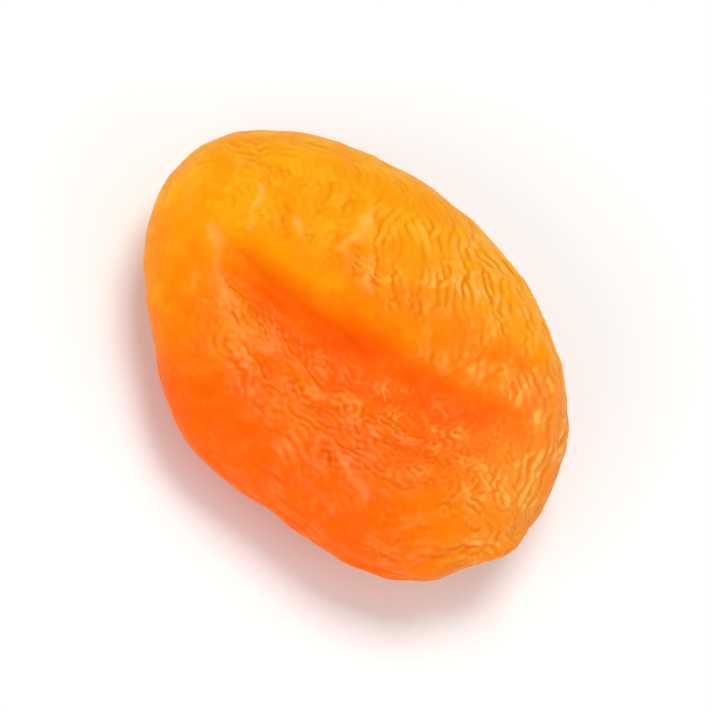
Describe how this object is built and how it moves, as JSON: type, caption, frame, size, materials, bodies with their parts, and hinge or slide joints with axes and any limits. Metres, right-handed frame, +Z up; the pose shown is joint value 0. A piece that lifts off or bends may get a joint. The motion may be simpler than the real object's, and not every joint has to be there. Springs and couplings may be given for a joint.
{
  "type": "dried apricot",
  "caption": "Whole pitted dried apricot, flattened and wrinkled, with a collapsed stone hollow on top; lies on its rounded side.",
  "frame": {"origin": "under the middle of the fruit's outline, on the surface that it lies on", "axes": "+X towards the stem end, along the fruit's length; +Y across its width, towards the lobe that folds over the stone hollow; +Z up, through its thickness"},
  "size_m": [0.0426, 0.0324, 0.0118],
  "materials": {
    "apricot_skin": "bright orange dried fruit skin, yellower on the rim and redder in the hollow, finely wrinkled, semi-matte with a soft waxy sheen and a slight glow through the flesh"
  },
  "bodies": {
    "root": {"dried_apricot": "apricot_skin"}
  },
  "joints": []
}
